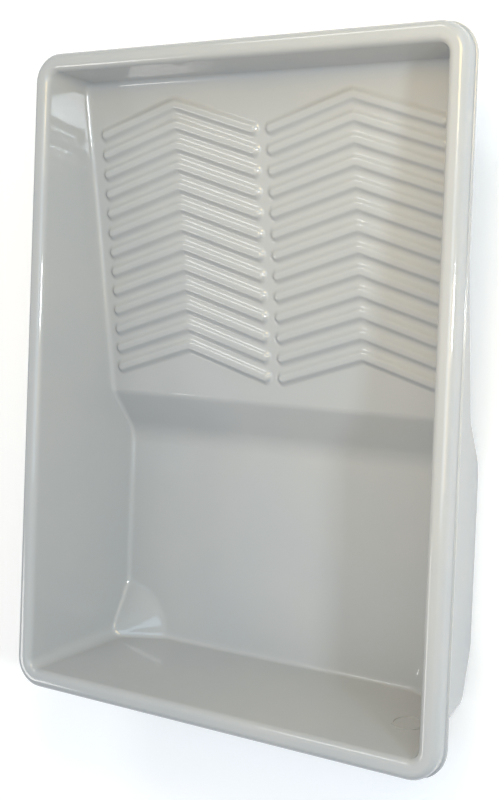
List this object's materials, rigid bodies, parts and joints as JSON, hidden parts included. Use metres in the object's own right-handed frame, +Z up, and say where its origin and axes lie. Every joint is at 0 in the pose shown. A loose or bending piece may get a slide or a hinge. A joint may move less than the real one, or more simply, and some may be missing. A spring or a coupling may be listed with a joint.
{
  "type": "paint roller tray",
  "caption": "Moulded plastic paint roller tray: a ramp with chevron ribs runs down over a step into a deep, flat-bottomed well, inside a rounded rim",
  "frame": {"origin": "middle of the outline, on the surface that the tray rests on", "axes": "X across the tray, Y along it from the well (-Y) to the shallow end (+Y), Z up"},
  "size_m": [0.282, 0.383, 0.085],
  "materials": {
    "tray_plastic": "glossy off-white polypropylene, lightly moulded"
  },
  "bodies": {
    "root": {"rim_front": "tray_plastic", "rim_right": "tray_plastic", "rim_back": "tray_plastic", "rim_left": "tray_plastic", "rim_corner_front_left": "tray_plastic", "rim_corner_front_right": "tray_plastic", "rim_corner_back_right": "tray_plastic", "rim_corner_back_left": "tray_plastic", "wall_front": "tray_plastic", "wall_right": "tray_plastic", "wall_back": "tray_plastic", "wall_left": "tray_plastic", "well_floor": "tray_plastic", "well_corner_left": "tray_plastic", "well_corner_right": "tray_plastic", "step_panel": "tray_plastic", "ramp_panel": "tray_plastic", "rib_left_01": "tray_plastic", "rib_left_02": "tray_plastic", "rib_left_03": "tray_plastic", "rib_left_04": "tray_plastic", "rib_left_05": "tray_plastic", "rib_left_06": "tray_plastic", "rib_left_07": "tray_plastic", "rib_left_08": "tray_plastic", "rib_left_09": "tray_plastic", "rib_left_10": "tray_plastic", "rib_left_11": "tray_plastic", "rib_left_12": "tray_plastic", "rib_left_13": "tray_plastic", "rib_right_01": "tray_plastic", "rib_right_02": "tray_plastic", "rib_right_03": "tray_plastic", "rib_right_04": "tray_plastic", "rib_right_05": "tray_plastic", "rib_right_06": "tray_plastic", "rib_right_07": "tray_plastic", "rib_right_08": "tray_plastic", "rib_right_09": "tray_plastic", "rib_right_10": "tray_plastic", "rib_right_11": "tray_plastic", "rib_right_12": "tray_plastic", "rib_right_13": "tray_plastic", "rear_foot_left": "tray_plastic", "rear_foot_right": "tray_plastic", "round_mark": "tray_plastic"}
  },
  "joints": []
}
